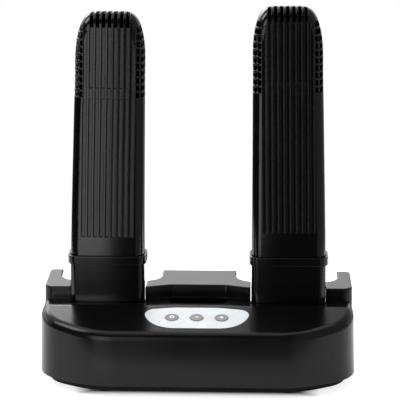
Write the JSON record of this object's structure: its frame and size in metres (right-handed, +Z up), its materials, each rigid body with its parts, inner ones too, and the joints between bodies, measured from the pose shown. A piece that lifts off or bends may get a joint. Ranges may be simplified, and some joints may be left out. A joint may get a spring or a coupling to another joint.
{
  "type": "boot dryer",
  "caption": "Warm-air boot dryer: a wide base with a sloped control deck and two grooved, vented tubes that extend and fold back.",
  "frame": {"origin": "centre of the footprint, on the surface that the feet stand on", "axes": "+Z up, +X to the right as seen from the control panel, +Y towards the rear; the panel faces -Y and up"},
  "size_m": [0.323, 0.144, 0.3789],
  "materials": {
    "shell_black": "satin",
    "cover_black": "matte",
    "foot_rubber": "matte",
    "screw_steel": "plated",
    "panel_white": "satin",
    "button_grey": "matte",
    "board_green": "solder mask",
    "switch_black": "matte",
    "gland_rubber": "matte",
    "fan_black": "matte",
    "motor_steel": "plated",
    "heater_plastic": "glass-filled",
    "heater_bar": "drawn",
    "fin_aluminium": "mill",
    "duct_plastic": "matte",
    "seal_foam": "open-cell foam",
    "pin_steel": "ground",
    "arm_black": "satin"
  },
  "bodies": {
    "base": {"base_shell": "shell_black", "bottom_cover": "cover_black", "rubber_feet": "foot_rubber", "cover_screws": "screw_steel", "control_panel": "panel_white", "control_board": "board_green", "button_switches": "switch_black", "board_screws": "screw_steel", "mains_gland": "gland_rubber", "fan_frame": "fan_black", "fan_motor": "motor_steel", "fan_screws": "screw_steel", "heater_frame": "heater_plastic", "heater_bars": "heater_bar", "heater_fins": "fin_aluminium", "thermal_cutout": "motor_steel", "air_duct": "duct_plastic", "duct_cover": "duct_plastic", "duct_screws": "screw_steel", "duct_seals": "seal_foam", "hinge_pins": "pin_steel"},
    "fan_wheel": {"impeller": "fan_black", "fan_shaft": "motor_steel"},
    "button_power": {"button_power": "button_grey"},
    "button_minus": {"button_minus": "button_grey"},
    "button_plus": {"button_plus": "button_grey"},
    "neck_left": {"neck_left": "arm_black", "collar_left": "arm_black"},
    "neck_right": {"neck_right": "arm_black", "collar_right": "arm_black"},
    "tube_left": {"tube_front_left": "arm_black", "tube_rear_left": "arm_black", "tube_screws_left": "screw_steel"},
    "tube_right": {"tube_front_right": "arm_black", "tube_rear_right": "arm_black", "tube_screws_right": "screw_steel"}
  },
  "joints": [
    {"name": "neck_fold_left", "type": "hinge", "parent": "base", "child": "neck_left", "pos_m": [-0.093, 0.01, 0.074], "axis": [-1, 0, 0], "range_deg": [0, 90]},
    {"name": "tube_slide_left", "type": "slide", "parent": "neck_left", "child": "tube_left", "axis": [0, 0, 1], "range_m": [0, 0.02]},
    {"name": "neck_fold_right", "type": "hinge", "parent": "base", "child": "neck_right", "pos_m": [0.093, 0.01, 0.074], "axis": [-1, 0, 0], "range_deg": [0, 90]},
    {"name": "tube_slide_right", "type": "slide", "parent": "neck_right", "child": "tube_right", "axis": [0, 0, 1], "range_m": [-0.006, 0.014]},
    {"name": "fan_spin", "type": "hinge", "parent": "base", "child": "fan_wheel", "pos_m": [0, 0.019, 0.016], "axis": [0, 0, 1], "continuous": true},
    {"name": "press_power", "type": "slide", "parent": "base", "child": "button_power", "axis": [0, 0.2045, -0.9789], "range_m": [0, 0.0008], "stiffness_N_per_m": 1500, "springref_m": -0.0004},
    {"name": "press_minus", "type": "slide", "parent": "base", "child": "button_minus", "axis": [0, 0.2045, -0.9789], "range_m": [0, 0.0008], "stiffness_N_per_m": 1500, "springref_m": -0.0004},
    {"name": "press_plus", "type": "slide", "parent": "base", "child": "button_plus", "axis": [0, 0.2045, -0.9789], "range_m": [0, 0.0008], "stiffness_N_per_m": 1500, "springref_m": -0.0004}
  ]
}
